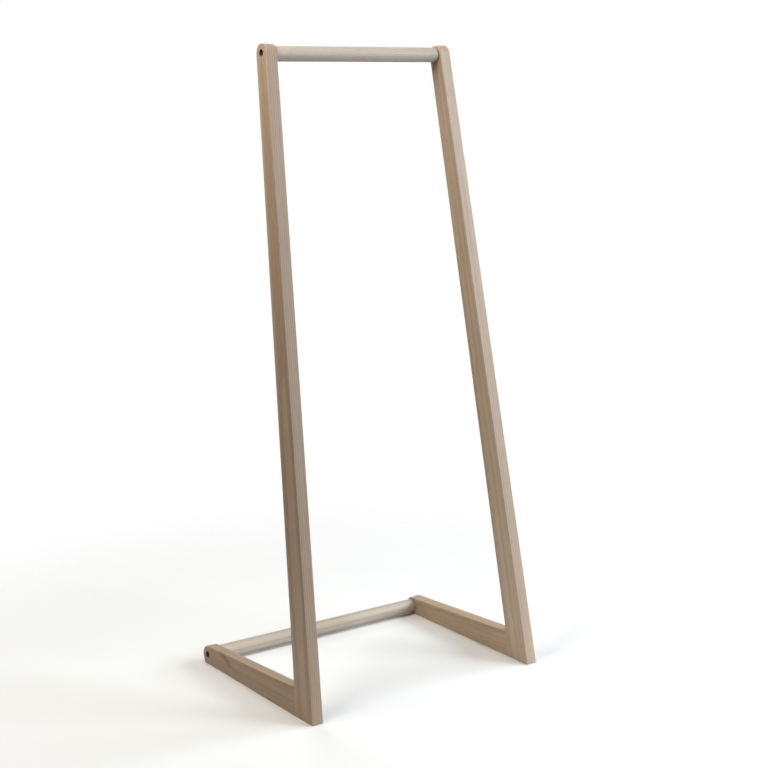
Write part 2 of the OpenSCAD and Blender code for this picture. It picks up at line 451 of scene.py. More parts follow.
def foot_outline(p):
    """Outline of a foot rail: joint corner, heel corner, round rear end, inner corner."""
    joint = bearing(p.back_touch, p.top) + math.pi
    top_edge = bearing(p.foot_touch, p.rear)
    heel_edge = bearing(p.heel_touch, p.rear)
    tiny, heel_round = CORNER_ROUND * p.s.joint_arris, CORNER_ROUND * p.s.arris

    # The inner corner lies a tiny radius inside the joint line and the rail's top edge
    edges = np.array([[math.cos(joint), math.sin(joint)],
                      [math.cos(top_edge), math.sin(top_edge)]])
    inner = np.linalg.solve(edges, edges @ p.crotch - tiny)

    reach = np.linalg.norm(p.foot_touch - p.crotch)
    top_gap = fan_out(reach, p.tip, RAIL_FAN)
    near = 1 - ARRIS_BLEND / reach
    top_gap = np.append(top_gap[top_gap < near - 0.01], near)
    floor_gap = 1 - fan_out(p.rear[0] - p.crotch[0], p.tip, RAIL_FAN)[::-1]
    heel_gap = np.array([0.3, 0.7])
    joint_gap = np.array([0.25, 0.5, 0.75])

    def outline(depth):
        floor_c = floor_corner(p, depth, joint, p.crotch, tiny)
        heel = floor_corner(p, depth, heel_edge, p.heel, heel_round)
        rear = np.repeat(p.rear[None], len(depth), axis=0)
        crotch = np.repeat(inner[None], len(depth), axis=0)
        return hull([(floor_c, tiny, joint, FLOORWARD, FINE_STEPS),
                     (heel, heel_round, FLOORWARD, heel_edge + TURN, ROUND_STEPS),
                     (rear, p.tip, heel_edge + TURN, top_edge + TURN, REAR_STEPS),
                     (crotch, tiny, top_edge + TURN, joint + TURN, FINE_STEPS)],
                    [floor_gap, heel_gap, top_gap, joint_gap])

    fine, full = p.s.joint_arris, p.s.arris
    arris = np.concatenate([
        np.full(FINE_STEPS, fine), np.where(floor_gap > 0.03, full, fine),
        np.full(ROUND_STEPS + len(heel_gap) + REAR_STEPS + len(top_gap), full),
        np.full(FINE_STEPS + len(joint_gap), fine)])
    return outline, arris


def turned(centre, profile, count, shape=None):
    """Rings for a profile of (radius, depth) pairs turned about a bar's axis.

    shape(radius, depth, angle), where given, changes each radius with depth and angle, which
    makes sockets, knurls and threads.
    """
    profile = np.asarray(profile)
    angle = np.arange(count) * TURN / count
    depth = np.broadcast_to(profile[:, 1:], (len(profile), count))
    radius = np.broadcast_to(profile[:, :1], depth.shape)
    if shape is not None:
        radius = shape(radius, depth, np.broadcast_to(angle, depth.shape))
    return np.stack([depth, centre[0] + radius * np.cos(angle),
                     centre[1] + radius * np.sin(angle)], axis=-1)


def screw_ridge(depth, angle, pitch, hand, sharp):
    """Height from 0 to 1 of a thread's ridge: a wave along the axis that advances by one
    pitch for each turn, made narrower by raising it to a power."""
    wave = 0.5 + 0.5 * np.cos(TURN * depth / pitch - hand * angle)
    return wave ** sharp


BAR_POINTS = 96
BORE_ROOM, BORE_CORNER, BORE_MOUTH = 0.05 * MM, 0.4 * MM, 0.3 * MM


def bar(p, name, centre, diameter, offset):
    """Turned bar between the inner faces, with a blind bore for the insert in each end.

    The grid runs from the left bore's end, out over the mitred end face and its rounded edge,
    along the bar and into the right bore. On an end face each point's distance along the bar
    is that of the board's inner face at its own height.
    """
    s = p.s
    axis = stand_up(p, 1.0, np.array([p.board, *centre]))
    angle = np.arange(BAR_POINTS) * TURN / BAR_POINTS
    bore = s.insert / 2 + BORE_ROOM
    bottom = p.board + s.insert_length + 1.0 * MM
    bore_profile = [(0.35 * bore, bottom), (bore - BORE_CORNER, bottom),
                    (bore, bottom - BORE_CORNER), (bore, p.board + BORE_MOUTH),
                    (bore + BORE_MOUTH, p.board)]

    def end_rings(side):
        inner = stand_up(p, side, turned(centre, bore_profile, BAR_POINTS))
        turn = np.linspace(0.0, QUARTER, ROUND_STEPS)[:, None]
        radius = diameter / 2 - s.bar_end * (1.0 - np.sin(turn))
        y = axis[1] + radius * np.cos(angle)
        z = axis[2] + radius * np.sin(angle)
        up = (z - p.low.z + p.board * math.sin(p.tilt)) / math.cos(p.tilt)
        face = p.wide / 2 - up * math.sin(p.tilt) - p.board * math.cos(p.tilt)
        x = side * (face - s.bar_end * (1.0 - np.cos(turn)))
        return np.concatenate([inner, np.stack([x, y, z], axis=-1)])

    left, right = end_rings(-1.0), end_rings(1.0)
    share = np.linspace(0.0, 1.0, 26)[1:-1, None, None]
    body = left[-1] + (right[-1] - left[-1]) * share
    rings = np.concatenate([left, body, right[::-1]])
    # Painted highlight mask on the rounded ends of the bar
    edge = np.zeros(rings.shape[:2])
    rise = np.sin(np.linspace(0.0, math.pi, ROUND_STEPS))[:, None]
    bored = len(bore_profile)
    edge[bored:bored + ROUND_STEPS] = rise
    edge[-bored - ROUND_STEPS:-bored] = rise
    grain = np.stack([rings[..., 1] - axis[1], rings[..., 2] - axis[2], rings[..., 0]],
                     axis=-1) + offset
    return surface(name, rings, False, {"grain": grain, "edge": edge})


# Points round each fitting
BOLT_POINTS, WASHER_POINTS, INSERT_POINTS, DOWEL_POINTS = 108, 72, 60, 96
# Number and depth of the grooves round a bolt's head and a dowel
KNURLS, KNURL_DEPTH = 36, 0.13 * MM
FLUTES, FLUTE_DEPTH = 16, 0.22 * MM


def bolt(p, side, name, centre):
    """Socket-head bolt: hexagon socket, chamfered and knurled head, shank with its thread.

    The socket's radius at an angle is that of a hexagon: half the width across the flats
    divided by the cosine of the angle to the nearest flat's middle.
    """
    s = p.s
    seat, top = p.head_seat, p.head_seat - s.head_height
    flat, head, shank = s.socket / 2, s.head / 2, s.bolt / 2
    pitch, deep, tip = 1.0 * MM, 0.5 * MM, p.head_seat + s.bolt_length
    socket_floor = top + s.socket_depth
    socket = [(0.3 * flat, socket_floor + 0.35 * MM), (0.97 * flat, socket_floor),
              (flat, socket_floor - 0.1 * MM), (flat, top + 0.25 * MM), (1.09 * flat, top)]
    rim = [(head - 0.75 * MM, top), (head - 0.45 * MM, top + 0.10 * MM),
           (head - 0.15 * MM, top + 0.4 * MM), (head, top + 0.8 * MM)]
    grip = [(head, top + 1.0 * MM), (head, seat - 0.5 * MM)]
    neck = [(head, seat - 0.3 * MM), (head - 0.2 * MM, seat), (shank + 0.25 * MM, seat),
            (shank, seat + 0.25 * MM)]
    plain_end = seat + 5.0 * MM
    thread = [(shank, d) for d in np.arange(plain_end, tip - 0.8 * MM, pitch / 7)]
    end = [(shank - 0.35 * MM, tip - 0.4 * MM), (shank - 0.8 * MM, tip), (0.4 * shank, tip)]
    grip_row = len(socket) + len(rim)
    thread_row = grip_row + len(grip) + len(neck)

    def shape(radius, depth, angle):
        row = np.arange(len(radius))[:, None]
        off = (angle + math.pi / 6) % (math.pi / 3) - math.pi / 6
        hexagon = radius / np.cos(off)
        knurl = KNURL_DEPTH * (0.5 - 0.5 * np.cos(KNURLS * angle))
        gripped = (row >= grip_row) & (row < grip_row + len(grip))
        run_out = np.clip((depth - plain_end) / pitch, 0.0, 1.0)
        run_out *= np.clip((tip - 0.5 * MM - depth) / (0.6 * pitch), 0.0, 1.0)
        cut = deep * (1.0 - screw_ridge(depth, angle, pitch, -side, 1.4)) * run_out
        out = np.where(row < len(socket) - 1, hexagon, radius)
        out = np.where(gripped, radius - knurl, out)
        return np.where(row >= thread_row, out - cut, out)

    profile = socket + rim + grip + neck + thread + end
    rings = turned(centre, profile, BOLT_POINTS, shape)
    return surface(name, stand_up(p, side, rings), False, {})


def washer(p, side, name, centre):
    """Flat washer: a rectangle with eased corners turned about the bolt."""
    s = p.s
    inner, outer, ease = s.bolt_hole / 2, s.washer / 2, 0.2 * MM
    near, far = p.head_seat, p.recess_depth
    profile = [(inner, far - ease / 2), (inner, near + ease / 2), (inner + ease / 2, near),
               (outer - ease, near), (outer - 0.3 * ease, near + 0.3 * ease),
               (outer, near + ease), (outer, far - ease / 2), (outer - ease / 2, far),
               (inner + ease / 2, far)]
    return surface(name, stand_up(p, side, turned(centre, profile, WASHER_POINTS)), True, {})


def insert(p, side, name, centre):
    """Threaded insert: a bored sleeve whose outer thread is a raised helical ridge."""
    s = p.s
    bore, outer = s.insert_bore / 2, s.insert / 2
    root, near, far = outer - 1.5 * MM, p.board, p.board + s.insert_length
    outside = [(root, d) for d in np.arange(near + 0.3 * MM, far - 0.3 * MM, s.insert_pitch / 12)]
    chamfer, shoulder = 0.4 * MM, 0.3 * MM
    inside = [(bore, far - chamfer), (bore, near + chamfer), (bore + chamfer, near),
              (root - shoulder, near)]
    end = [(root - shoulder, far), (bore + chamfer, far)]

    def shape(radius, depth, angle):
        row = np.arange(len(radius))[:, None]
        ends = np.clip((depth - near) / s.insert_pitch, 0, 1)
        ends = ends * np.clip((far - depth) / s.insert_pitch, 0, 1)
        rise = (outer - root) * screw_ridge(depth, angle, s.insert_pitch, -side, 4.0)
        threaded = (row >= len(inside)) & (row < len(inside) + len(outside))
        return np.where(threaded, radius + rise * np.minimum(1.0, 2.5 * ends), radius)

    rings = turned(centre, inside + outside + end, INSERT_POINTS, shape)
    return surface(name, stand_up(p, side, rings), True, {})


def dowel(p, side, name, share, offset):
    """Fluted dowel across the joint: small round grooves along a pin with rounded ends."""
    s = p.s
    up = (p.back_touch - p.crotch) / np.linalg.norm(p.back_touch - p.crotch)
    rearward = np.array([up[1], -up[0]])
    centre = p.crotch - up * share * p.crotch[1] / up[1]
    half, radius, tip_round = s.dowel_length / 2, s.dowel / 2, 0.9 * MM
    ends = [(radius - tip_round * (1 - math.sin(a)), -half + tip_round * (1 - math.cos(a)))
            for a in np.linspace(0.0, QUARTER, 5)]
    profile = np.array([(0.5 * radius, -half)] + ends)
    body = np.stack([np.full(8, radius), np.linspace(-half + 3 * MM, half - 3 * MM, 8)], axis=-1)
    profile = np.concatenate([profile, body, profile[::-1] * (1, -1)])
    angle = np.arange(DOWEL_POINTS) * TURN / DOWEL_POINTS
    flute = FLUTE_DEPTH * np.clip(0.5 - 0.5 * np.cos(FLUTES * angle), 0, 1) ** 2
    held = np.clip((half - tip_round - np.abs(profile[:, 1:])) / (1.5 * MM), 0.0, 1.0)
    wide = profile[:, :1] - flute * held
    depth = p.board / 2 + wide * np.cos(angle)
    flat = (centre + profile[:, 1:, None] * rearward
            + (wide * np.sin(angle))[..., None] * up)
    local = np.concatenate([depth[..., None], flat], axis=-1)
    grain = np.stack([wide * np.cos(angle), wide * np.sin(angle),
                      np.broadcast_to(profile[:, 1:], wide.shape)], axis=-1) + offset
    return surface(name, stand_up(p, side, local), False, {"grain": grain})


# --- Finishes --------------------------------------------------------------------------------

class Web:
    """A node tree in the making: add() makes a node, sets its values and wires its inputs."""

    def __init__(self, tree):
        self.tree = tree

    def wire(self, node, inputs):
        """Sets a node's inputs by key; an output of another node is linked instead."""
        for key, value in inputs.items():
            if isinstance(value, bpy.types.NodeSocket):
                self.tree.links.new(value, node.inputs[key])
            else:
                node.inputs[key].default_value = value

    def add(self, kind, inputs=None, **settings):
        made = self.tree.nodes.new(kind)
        for key, value in settings.items():
            setattr(made, key, value)
        self.wire(made, inputs or {})
        return made

    def group(self, name, build, inputs):
        """Outputs of a shared node group, which is built the first time it is asked for."""
        tree = bpy.data.node_groups.get(name) or build(name)
        return self.add("ShaderNodeGroup", inputs, node_tree=tree).outputs

    def attribute(self, name, output):
        """Output of a mesh attribute; nought on a piece that has none of that name."""
        return self.add("ShaderNodeAttribute", attribute_name=name).outputs[output]

    def sum(self, operation, *values):
        """Output of a Math node."""
        return self.add("ShaderNodeMath", dict(enumerate(values)), operation=operation).outputs[0]

    def shift(self, value, middle, gain, base):
        """A base value moved by a pattern's distance from its middle, times a gain."""
        return self.sum("MULTIPLY_ADD", self.sum("SUBTRACT", value, middle), gain, base)

    def vector(self, operation, *values, out=0):
        """Output of a Vector Math node."""
        return self.add("ShaderNodeVectorMath", dict(enumerate(values)),
                        operation=operation).outputs[out]

    def noise(self, vector, stretch, detail=2.0, rough=0.5, out=0):
        """Noise over a stretched vector; stretch is the number of features per metre."""
        scaled = self.vector("MULTIPLY", vector, stretch)
        return self.add("ShaderNodeTexNoise", {"Vector": scaled, "Scale": 1.0, "Detail": detail,
                                               "Roughness": rough}).outputs[out]

    def ramp(self, value, low, high, to_low=0.0, to_high=1.0):
        """Value carried smoothly from one range to another and held beyond it."""
        return self.add("ShaderNodeMapRange", {0: value, 1: low, 2: high, 3: to_low, 4: to_high},
                        interpolation_type="SMOOTHSTEP").outputs[0]

    def mix(self, share, one, other):
        """Mixed colour."""
        return self.add("ShaderNodeMix", {0: share, 6: one, 7: other},
                        data_type="RGBA").outputs[2]

    def bump(self, strength, distance, height):
        """Normal of a surface raised by a height pattern."""
        return self.add("ShaderNodeBump", {"Strength": strength, "Distance": distance,
                                           "Height": height}).outputs[0]


def new_group(name, inputs, outputs):
    """Empty node group with its named sockets; returns its web, inputs and output node."""
    tree = bpy.data.node_groups.new(name, "ShaderNodeTree")
    for label, kind in inputs.items():
        tree.interface.new_socket(name=label, in_out="INPUT", socket_type=f"NodeSocket{kind}")
    for label in outputs:
        tree.interface.new_socket(name=label, in_out="OUTPUT", socket_type="NodeSocketFloat")
    web = Web(tree)
    return web, web.add("NodeGroupInput").outputs, web.add("NodeGroupOutput")


# Features of the oak's patterns per metre: twice across the board, and along its grain
SWAY, CLOUDS, STREAKS = (9.0, 9.0, 1.3), (26.0, 26.0, 5.0), (170.0, 170.0, 2.4)
FIBRES, PORES, RAYS = (1500.0, 1500.0, 26.0), (2100.0, 2100.0, 85.0), (90.0, 700.0, 55.0)
HIGHLIGHT_BREAKS, WANDER = (60.0, 60.0, 18.0), (90.0, 30.0, 40.0)


def oak_figure(name):
    """Node group: the figure of oak inside a board.

    Growth rings are the distance from the heart line, warped slowly along the grain. Pores are
    short dark dashes, crowded in the first third of each ring; rays are pale flecks; fibres
    and slow streaks run along the grain.
    """
    web, given, out = new_group(
        name, {"Grain": "Vector", "Ring Spacing": "Float", "Warp": "Float",
               "Ring Contrast": "Float"}, ("Tone", "Pores", "Flecks", "Fibres", "Height"))
    grain = given["Grain"]
    sway = web.vector("SUBTRACT", web.noise(grain, SWAY, out=1), (0.5, 0.5, 0.5))
    sway = web.add("ShaderNodeVectorMath", {0: sway, "Scale": given["Warp"]}, operation="SCALE")
    warped = web.vector("ADD", grain, sway.outputs[0])
    heart = web.vector("LENGTH", web.vector("MULTIPLY", warped, (1.0, 1.0, 0.0)), out=1)
    ring = web.sum("FRACT", web.sum("DIVIDE", heart, given["Ring Spacing"]))
    early = web.sum("MULTIPLY", web.ramp(ring, 0.0, 0.08), web.ramp(ring, 0.20, 0.55, 1.0, 0.0))
    fibres = web.noise(grain, FIBRES, 3.0, 0.6)
    dashes = web.ramp(web.noise(grain, PORES, 1.0), 0.54, 0.66)
    pores = web.sum("MULTIPLY", dashes, web.sum("MULTIPLY_ADD", early, 0.85, 0.15))
    rays = web.ramp(web.noise(grain, RAYS, 1.0), 0.62, 0.74)
    tone = web.shift(web.noise(grain, STREAKS, 4.0, 0.55), 0.5, 1.6, 0.5)
    tone = web.shift(web.noise(grain, CLOUDS), 0.5, 0.5, tone)
    tone = web.shift(early, 0.3, given["Ring Contrast"], tone)
    tone = web.shift(fibres, 0.5, 0.5, tone)
    height = web.sum("MULTIPLY_ADD", pores, -1.0, web.sum("MULTIPLY", fibres, 0.35))
    web.wire(out, {"Tone": web.ramp(tone, 0.0, 1.2), "Pores": pores, "Flecks": rays,
                   "Fibres": fibres, "Height": height})
    return web.tree


def highlight_edges(name):
    """Node group: painted highlight on the rounded edges. The edge mask is broken up by noise
    along the board.
    """
    web, given, out = new_group(name, {"Grain": "Vector", "Edge": "Float"}, ("Mask",))
    breaks = web.ramp(web.noise(given["Grain"], HIGHLIGHT_BREAKS, 3.0, 0.6), 0.30, 0.62)
    web.wire(out, {"Mask": web.sum("MULTIPLY", breaks, given["Edge"])})
    return web.tree


def tool_marks(name):
    """Node group: fine turning marks and faint smudges on metal."""
    web, given, out = new_group(name, {"Vector": "Vector"}, ("Smudge", "Marks"))
    web.wire(out, {"Smudge": web.noise(given["Vector"], (260.0, 260.0, 260.0), 3.0, 0.55),
                   "Marks": web.noise(given["Vector"], (5200.0, 900.0, 900.0), 2.0, 0.6)})
    return web.tree


def new_finish(name):
    """Material with an empty tree, its Principled shader and its web."""
    finish = bpy.data.materials.new(name)
    finish.use_nodes = True
    finish.node_tree.nodes.clear()
    web = Web(finish.node_tree)
    shader = web.add("ShaderNodeBsdfPrincipled")
    web.add("ShaderNodeOutputMaterial", {"Surface": shader.outputs[0]})
    return finish, web, shader


def rgba(values, gain=1.0):
    """Colour property as four numbers, made lighter or darker by a gain."""
    return (*[min(1.0, v * gain) for v in values], 1.0)


# How much of its own colour each mark on the oak puts over the wood: flecks, the painted
# highlight on rounded edges and the painted shade in the bolt recess
FLECK_SHARE, HIGHLIGHT_SHARE, RECESS_SHADE_SHARE = 0.16, 0.28, 0.85
# Roughness of the smooth wood, and what its fibres and pores add
OAK_ROUGH, FIBRE_ROUGH, PORE_ROUGH = 0.44, 0.16, 0.15


def dark_run(web, grain, run):
    """Mask of a run of slanting grain: a soft ellipse in the board with wandering edges.

    run is its centre and direction in grain coordinates, its length and its width.
    """
    centre, way, long, wide = run
    moved = web.vector("SUBTRACT", grain, centre)
    far = web.sum("DIVIDE", web.vector("DOT_PRODUCT", moved, way, out=1), long)
    off = web.vector("DOT_PRODUCT", moved, (way[2], 0.0, -way[0]), out=1)
    wander = web.sum("MULTIPLY_ADD", web.noise(grain, WANDER), 2.0, -1.0)
    off = web.sum("ADD", web.sum("DIVIDE", off, wide), wander)
    spread = web.sum("SQRT", web.sum("ADD", web.sum("MULTIPLY", far, far),
                                     web.sum("MULTIPLY", off, off)))
    return web.ramp(spread, 0.1, 1.2, 1.0, 0.0)


def oak_finish(name, pale, dark, spacing, warp, rings=0.4, gain=(1.0, 1.0, 1.0),
               pore_share=0.45, run=None):
    """Soaped oak: pale wood with dark streaks, open pores and flecks, with a painted highlight on
    the rounded edges and painted shade in the bolt recess.

    spacing and warp are those of the growth rings, rings is their contrast, gain is the piece's
    shade, its own tone with painted light in it, and run, where given, is a dark run of slanting
    grain.
    """
    colours = bpy.context.scene.valet_stand_finishes
    finish, web, shader = new_finish(name)
    grain = web.attribute("grain", "Vector")
    figure = web.group("oak figure", oak_figure, {
        "Grain": grain, "Ring Spacing": spacing, "Warp": warp, "Ring Contrast": rings})
    highlight = web.group("worn edges", highlight_edges, {
        "Grain": grain, "Edge": web.attribute("edge", "Fac")})

    def shaded(base):
        """A colour in the piece's shade, painted light included."""
        return rgba([c * g for c, g in zip(base, gain)])

    wood = web.mix(figure["Tone"], shaded(pale), shaded(dark))
    wood = web.mix(web.sum("MULTIPLY", figure["Flecks"], FLECK_SHARE), wood,
                   shaded(colours.fleck))
    if run:
        wood = web.mix(dark_run(web, grain, run), wood, rgba(colours.pore, 1.2))
    wood = web.mix(web.sum("MULTIPLY", figure["Pores"], pore_share), wood, rgba(colours.pore))
    # Painted highlight: the rounded edges are lightened, broken up by noise
    wood = web.mix(web.sum("MULTIPLY", highlight["Mask"], HIGHLIGHT_SHARE), wood, rgba(pale, 1.08))
    # Painted shade: the bolt recess's walls and floor are darkened nearly to black, standing in
    # for the shade inside the recess
    cut = web.sum("MULTIPLY", web.attribute("cut", "Fac"), RECESS_SHADE_SHARE)
    wood = web.mix(cut, wood, rgba(colours.pore, 0.35))
    rough = web.sum("MULTIPLY_ADD", figure["Fibres"], FIBRE_ROUGH, OAK_ROUGH)
    rough = web.sum("MULTIPLY_ADD", figure["Pores"], PORE_ROUGH, rough)
    web.wire(shader, {"Base Color": wood, "Roughness": rough, "Specular IOR Level": 0.5,
                      "Sheen Weight": 0.06, "Sheen Roughness": 0.5,
                      "Normal": web.bump(0.35, 0.18 * MM, figure["Height"])})
    return finish


def metal_finish(name, base, rough, metallic, depth):
    """Metal with turning marks of a given depth, and smudges that change its gloss."""
    finish, web, shader = new_finish(name)
    place = web.add("ShaderNodeTexCoord").outputs["Object"]
    marks = web.group("tool marks", tool_marks, {"Vector": place})
    web.wire(shader, {
        "Base Color": web.mix(marks["Smudge"], rgba(base, 0.80), rgba(base, 1.20)),
        "Roughness": web.sum("MULTIPLY_ADD", marks["Smudge"], 0.22, rough - 0.11),
        "Normal": web.bump(0.3, depth, marks["Marks"]), "Metallic": metallic})
    return finish


# --- Operators -------------------------------------------------------------------------------

# Each board's place in its log, its shade (own tone plus painted light: right-hand boards
# lighter, left-hand darker) and how strongly its growth rings show
UPRIGHT_CUTS = {"left": ((0.004, 0.085, 0.0), (0.825, 0.785, 0.745), 0.70),
                "right": ((-0.030, 0.070, 3.0), (1.100, 1.090, 1.060), 0.25)}
RAIL_CUTS = {"left": ((0.010, 0.060, 7.0), (0.800, 0.740, 0.675), 0.20),
             "right": ((0.030, 0.055, 11.0), (1.065, 1.000, 0.925), 0.20)}
# Direction of the foot rails' grain, rearward and up
RAIL_ALONG = (1.0, -0.05)
# The left rail's dark run: its centre from the bolt, its direction, length and width
RAIL_RUN = (-0.0064, 0.0, -0.0680), (0.354, 0.0, -0.935), 0.032, 0.0062
BAR_PLACES = {"top": (0.021, 0.034, 17.0), "rear": (-0.028, 0.025, 23.0)}
DOWEL_PLACE = (0.02, 0.01, 30.0)
# The bars' shade, a painted lightening for the light on them from above, and how strongly their
# growth rings and pores show
BAR_SHADE, BAR_RINGS, BAR_PORES = (1.100, 1.090, 1.070), 0.35, 0.40
# Spacing and warp of the growth rings in each kind of piece, in metres
RING_SIZES = {"upright": (0.0042, 0.009), "foot_rail": (0.0036, 0.010), "bar": (0.0034, 0.006),
              "dowel": (0.002, 0.003)}
# Dowels' places as shares of the joint from its inner corner to the floor
DOWEL_SHARES = {"upper": 0.3, "lower": 0.7}
# Each metal's roughness, metallic share and depth of its tool marks
STEEL, ZINC, BRASS = (0.38, 0.85, 0.02 * MM), (0.36, 1.0, 0.02 * MM), (0.30, 1.0, 0.03 * MM)


def setting_out(context):
    """Plan of the side frames, and the finishes."""
    return plan(context.scene.valet_stand_sizes), context.scene.valet_stand_finishes


def add_boards(context, kind, outline_of, axis_point, along, cuts, runs=()):
    """Makes the board of one kind for each side, each from its own cut of oak."""
    p, colours = setting_out(context)
    outline, arris = outline_of(p)
    for word, side in SIDES.items():
        offset, gain, rings = cuts[word]
        run = None
        if word in runs:
            run = (tuple(np.add(offset, RAIL_RUN[0])), *RAIL_RUN[1:])
        piece = board(p, side, f"{word}_{kind}_oak", axis_point, outline, arris, along, offset)
        finish = oak_finish(f"soaped oak, {word} {kind.replace('_', ' ')}", colours.board_pale,
                            colours.board_dark, *RING_SIZES[kind], rings, gain, run=run)
        fit_up(piece, f"{word}_{kind}", finish)


def add_fittings(context, make, words, node, finish):
    """Makes one fitting at each of the four bar ends."""
    p, _ = setting_out(context)
    for end, centre in (("top", p.top), ("rear", p.rear)):
        for word, side in SIDES.items():
            piece = make(p, side, f"{end}_{word}_{words}", centre)
            fit_up(piece, f"{end}_{word}_{node}", finish)


class VALETSTAND_OT_uprights(bpy.types.Operator):
    """Make the two tapered uprights"""
    bl_idname = "valet_stand.uprights"
    bl_label = "Add Uprights"

    def execute(self, context):
        p, _ = setting_out(context)
        along = p.top - np.array([p.s.upright_root / 2, 0.0])
        add_boards(context, "upright", upright_outline, p.top, along, UPRIGHT_CUTS)
        return {"FINISHED"}


class VALETSTAND_OT_foot_rails(bpy.types.Operator):
    """Make the two foot rails"""
    bl_idname = "valet_stand.foot_rails"
    bl_label = "Add Foot Rails"

    def execute(self, context):
        p, _ = setting_out(context)
        add_boards(context, "foot_rail", foot_outline, p.rear, RAIL_ALONG, RAIL_CUTS,
                   runs=("left",))
        return {"FINISHED"}


class VALETSTAND_OT_bars(bpy.types.Operator):
    """Make the hanging bar and the bar between the feet"""
    bl_idname = "valet_stand.bars"
    bl_label = "Add Bars"

    def execute(self, context):
        p, colours = setting_out(context)
        for end, offset in BAR_PLACES.items():
            piece = bar(p, f"{end}_bar_oak", getattr(p, end), getattr(p.s, f"{end}_bar"), offset)
            finish = oak_finish(f"soaped oak, {end} bar", colours.bar_pale, colours.bar_dark,
                                *RING_SIZES["bar"], BAR_RINGS, BAR_SHADE, BAR_PORES)
            fit_up(piece, f"{end}_bar", finish)
        return {"FINISHED"}


class VALETSTAND_OT_bolts(bpy.types.Operator):
    """Make the four socket-head bolts"""
    bl_idname = "valet_stand.bolts"
    bl_label = "Add Bolts"

    def execute(self, context):
        finish = metal_finish("blackened steel", context.scene.valet_stand_finishes.steel, *STEEL)
        add_fittings(context, bolt, "socket_bolt", "bolt", finish)
        return {"FINISHED"}


class VALETSTAND_OT_washers(bpy.types.Operator):
    """Make the four washers"""
    bl_idname = "valet_stand.washers"
    bl_label = "Add Washers"

    def execute(self, context):
        finish = metal_finish("zinc plate", context.scene.valet_stand_finishes.zinc, *ZINC)
        add_fittings(context, washer, "flat_washer", "washer", finish)
        return {"FINISHED"}


class VALETSTAND_OT_inserts(bpy.types.Operator):
    """Make the four threaded inserts in the bar ends"""
    bl_idname = "valet_stand.inserts"
    bl_label = "Add Inserts"

    def execute(self, context):
        finish = metal_finish("turned brass", context.scene.valet_stand_finishes.brass, *BRASS)
        add_fittings(context, insert, "threaded_insert", "insert", finish)
        return {"FINISHED"}


class VALETSTAND_OT_dowels(bpy.types.Operator):
    """Make the four fluted corner dowels"""
    bl_idname = "valet_stand.dowels"
    bl_label = "Add Dowels"

    def execute(self, context):
        p, colours = setting_out(context)
        finish = oak_finish("plain beech", colours.beech, [0.75 * c for c in colours.beech],
                            *RING_SIZES["dowel"], pore_share=0.15)
        for word, side in SIDES.items():
            for height, share in DOWEL_SHARES.items():
                piece = dowel(p, side, f"{word}_{height}_fluted_dowel", share,
                              np.add(DOWEL_PLACE, (0.0, 0.0, share)))
                fit_up(piece, f"{word}_{height}_dowel", finish)
        return {"FINISHED"}


def camera_frame(heading, pitch, roll):
    """Turn of a camera from its heading, pitch and roll: its view line is heading and pitch,
    its level axes are turned about that line by the roll."""
    forward = Vector((math.sin(heading) * math.cos(pitch), math.cos(heading) * math.cos(pitch),
                      math.sin(pitch)))
    right = Vector((math.cos(heading), -math.sin(heading), 0.0))
    up = right.cross(forward)
    x = right * math.cos(roll) + up * math.sin(roll)
    y = up * math.cos(roll) - right * math.sin(roll)
    return Matrix((x, y, -forward)).transposed()


COOL, WARM, WHITE = (0.85, 0.92, 1.0), (1.0, 0.88, 0.72), (1.0, 1.0, 0.94)
WAIST = (0.0, 0.0, 0.55)
# Each softbox: its tint, width, height, place and the point that it faces
SOFTBOXES = {
    "key": (COOL, 1.4, 1.8, (2.2, -2.2, 1.7), WAIST),
    "right": (COOL, 1.4, 1.8, (2.6, -0.6, 1.3), WAIST),
    "low": (COOL, 0.6, 0.8, (1.2, -1.4, 0.6), (0.25, -0.1, 0.5)),
    "overhead": (WHITE, 2.0, 2.0, (0.0, 0.0, 3.0), (0.0, 0.01, 0.0)),
    "rear": (WHITE, 1.6, 1.2, (0.5, 2.8, 2.2), WAIST),
    "side": (WARM, 1.0, 1.0, (-1.4, 0.3, 2.0), (-0.25, 0.03, 1.0)),
    "crown": (WHITE, 0.4, 0.4, (-0.9, -0.2, 1.6), (-0.2, 0.03, 1.1)),
}
# The floor's rings in metres from the middle, its points round, and its place under the feet
FLOOR_RINGS, FLOOR_POINTS, FLOOR_DROP = (0.02, 0.5, 1.0, 1.5, 2.0), 96, 0.0002
# Distances from the middle at which the floor starts to fade and is gone
FADE_START, FADE_END = 0.50, 1.15


def softbox(name, power):
    """Rectangular area light in its place, turned towards the point that it faces."""
    tint, wide, tall, spot, aim = SOFTBOXES[name]
    data = bpy.data.lights.new(f"{name} softbox", "AREA")
    data.shape, data.size, data.size_y = "RECTANGLE", wide, tall
    data.energy, data.color = power, tint
    lamp = bpy.data.objects.new(f"{name} softbox", data)
    lamp.location = spot
    lamp.rotation_euler = (Vector(spot) - Vector(aim)).to_track_quat("Z", "Y").to_euler()
    bpy.context.scene.collection.objects.link(lamp)


def floor_finish(base):
    """Matt pale floor that fades into the room's white well away from the stand."""
    finish, web, shader = new_finish("pale studio floor")
    place = web.add("ShaderNodeTexCoord").outputs["Object"]
    middle_out = web.vector("LENGTH", web.vector("MULTIPLY", place, (1.0, 1.0, 0.0)), out=1)
    speck = web.noise(place, (7.0, 7.0, 7.0), 3.0)
    web.wire(shader, {"Base Color": web.mix(speck, rgba(base, 0.995), rgba(base, 1.005)),
                      "Roughness": 0.75, "Specular IOR Level": 0.2})
    clear = web.add("ShaderNodeBsdfTransparent").outputs[0]
    both = web.add("ShaderNodeMixShader", {0: web.ramp(middle_out, FADE_START, FADE_END),
                                           1: shader.outputs[0], 2: clear})
    end = next(n for n in web.tree.nodes if n.type == "OUTPUT_MATERIAL")
    web.wire(end, {"Surface": both.outputs[0]})
    return finish


